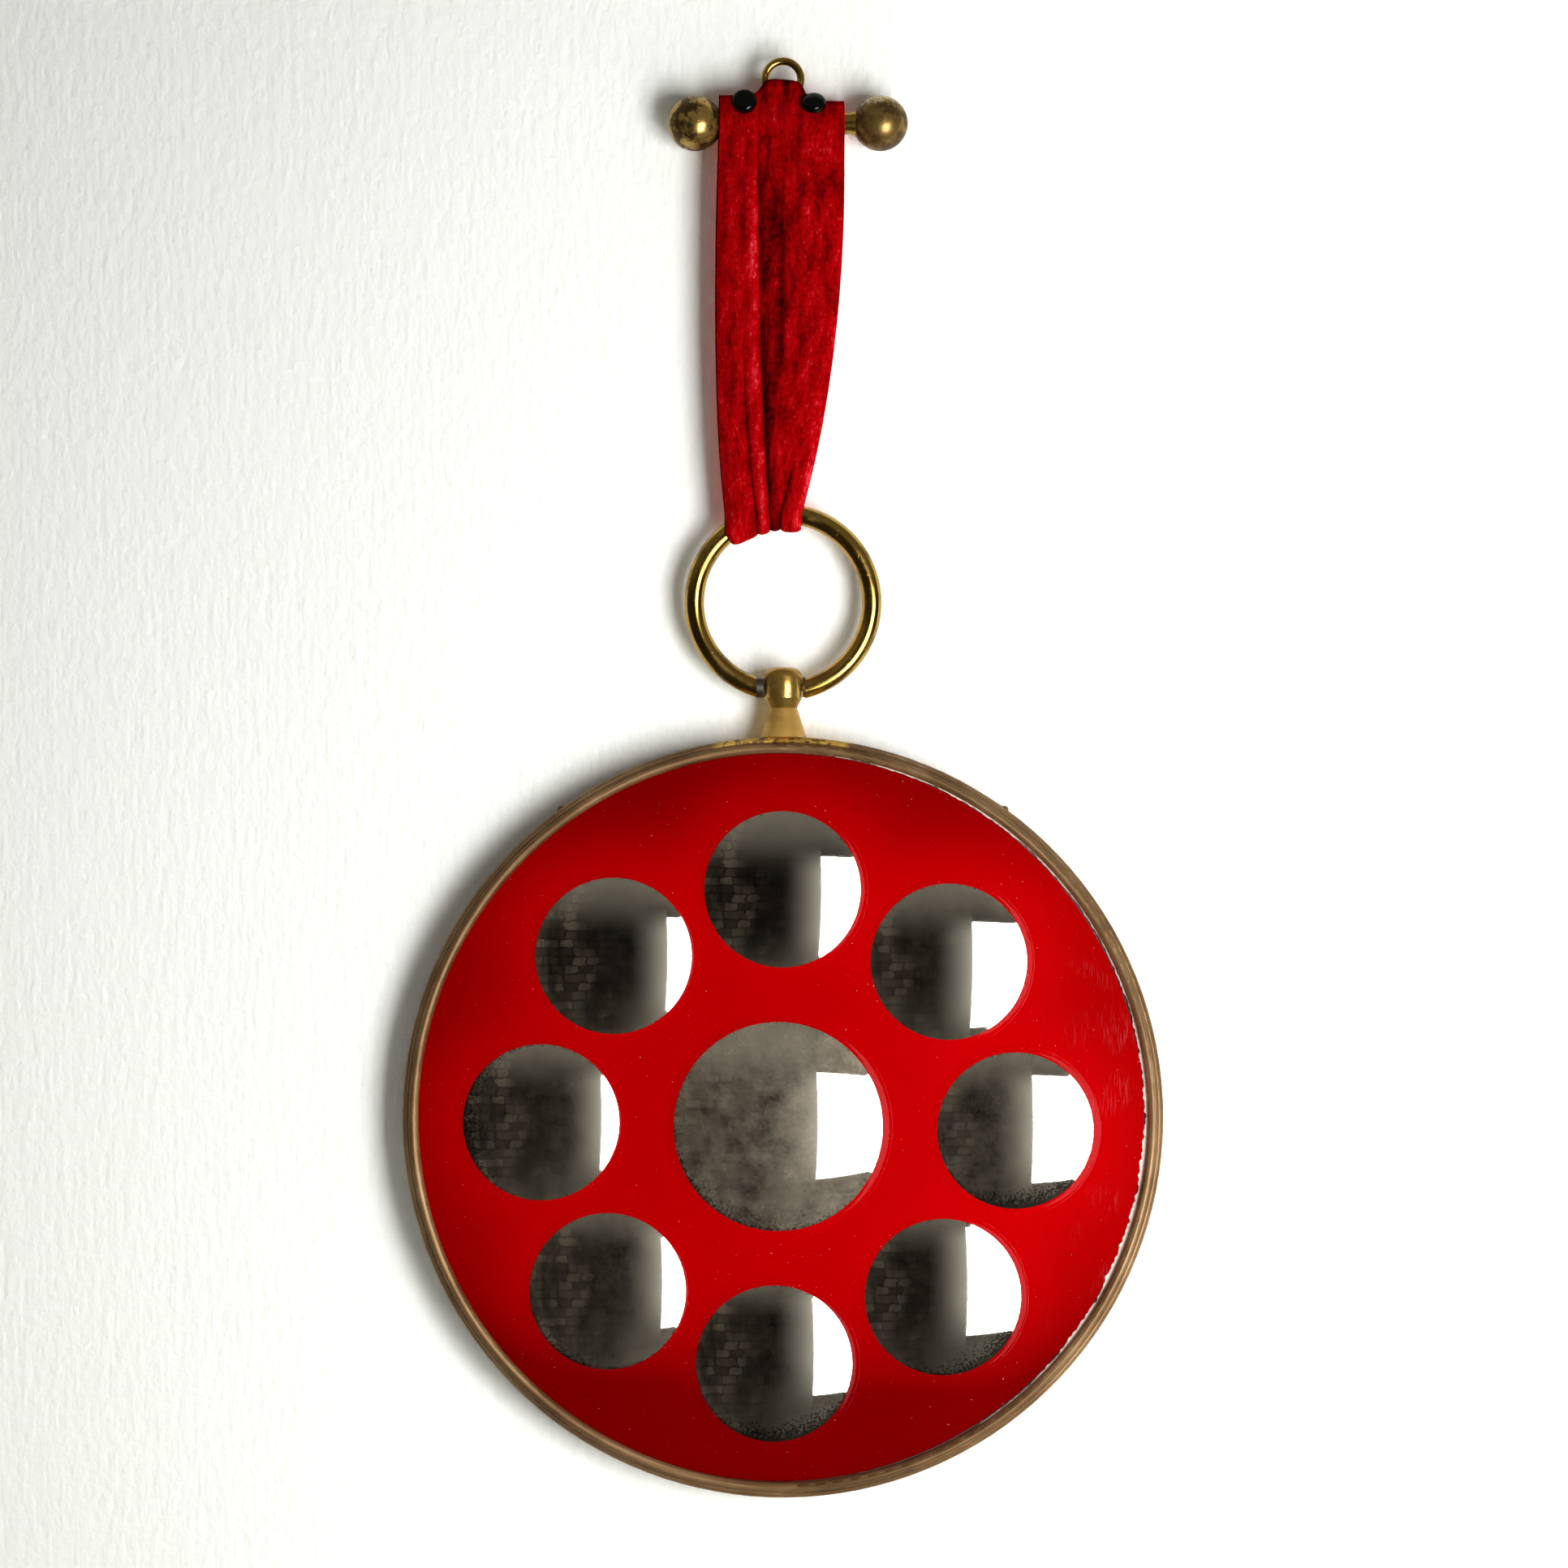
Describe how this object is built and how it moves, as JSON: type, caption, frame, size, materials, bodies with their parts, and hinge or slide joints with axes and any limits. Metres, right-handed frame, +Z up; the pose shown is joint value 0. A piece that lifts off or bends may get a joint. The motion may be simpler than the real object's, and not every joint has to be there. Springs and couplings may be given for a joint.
{
  "type": "hung wall mirror",
  "caption": "Round wall mirror with convex silvered bubbles in a red glass panel, hung by a bow ring and a velvet ribbon from a brass rod with ball finials.",
  "frame": {"origin": "centre of the hanging eye at the top", "axes": "+X to the viewer's right, +Y towards the wall, +Z up"},
  "size_m": [0.3, 0.0257, 0.5688],
  "materials": {
    "polished_brass": "polished, pitted with age",
    "brown_brass": "brown patina, worn bright at the top",
    "steel": "turned, dull",
    "crushed_velvet": "short crushed pile",
    "black_enamel": "glossy",
    "clear_glass": "fire polished",
    "foxed_silver": "silvered, with dark spots of age",
    "red_lacquer": "glossy under the glass",
    "white_putty": "dry and chipped",
    "grey_card": "plain",
    "plywood": "bare"
  },
  "bodies": {
    "hanger": {"hanging_eye": "polished_brass", "hanger_rod": "polished_brass", "finial_left": "polished_brass", "finial_right": "polished_brass", "finial_collar_left": "polished_brass", "finial_collar_right": "polished_brass", "finial_studs": "steel", "ribbon_front": "crushed_velvet", "ribbon_back": "crushed_velvet", "ribbon_loop": "crushed_velvet", "snap_cap_left": "black_enamel", "snap_cap_right": "black_enamel", "snap_backs": "black_enamel"},
    "bow": {"bow_ring": "polished_brass", "pivot_pin": "steel", "pivot_sleeve": "steel", "pivot_washer": "brown_brass"},
    "mirror": {"pendant_ball": "polished_brass", "pendant_cone": "polished_brass", "pendant_stud": "steel", "frame_band": "brown_brass", "frame_bead": "brown_brass", "glass_panel": "clear_glass", "centre_silvering": "foxed_silver", "outer_silvering": "foxed_silver", "red_lacquer": "red_lacquer", "glazing_putty": "white_putty", "packing_sheet": "grey_card", "backing_board": "plywood", "frame_nails": "polished_brass"}
  },
  "joints": [
    {"name": "bow_sway", "type": "hinge", "parent": "hanger", "child": "bow", "pos_m": [0, 0, -0.207], "axis": [0, 1, 0], "range_deg": [-45, 45]},
    {"name": "mirror_tilt", "type": "hinge", "parent": "bow", "child": "mirror", "pos_m": [0, 0, -0.24051], "axis": [1, 0, 0], "range_deg": [-90, 90]}
  ]
}
